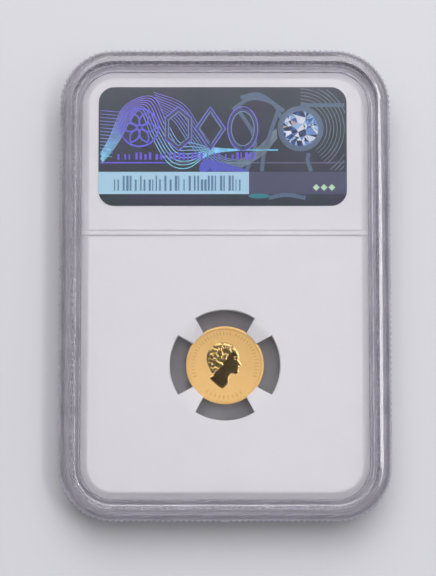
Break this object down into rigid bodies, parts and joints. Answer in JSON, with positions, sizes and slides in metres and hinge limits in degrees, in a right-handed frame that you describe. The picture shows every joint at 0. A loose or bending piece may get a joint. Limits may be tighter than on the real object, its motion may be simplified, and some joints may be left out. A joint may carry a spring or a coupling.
{
  "type": "graded coin slab",
  "caption": "Clear welded plastic holder with a reeded rim round a white core that grips a small coin, with a foil security label on its back.",
  "frame": {"origin": "middle of the base that the slab's front lip rests on", "axes": "+Z out of the back face, +Y towards the end with the labels, +X to the right seen from the back"},
  "size_m": [0.059, 0.084, 0.008],
  "materials": {
    "clear_plastic": "clear, polished, faintly violet",
    "white_plastic": "satin white",
    "gold": "satin field, polished relief",
    "foil": "iridescent dark slate foil",
    "card": "printed card"
  },
  "bodies": {
    "root": {"front_shell": "clear_plastic", "back_shell": "clear_plastic", "core": "white_plastic", "coin": "gold", "security_label": "foil", "grading_label": "card"}
  },
  "joints": []
}
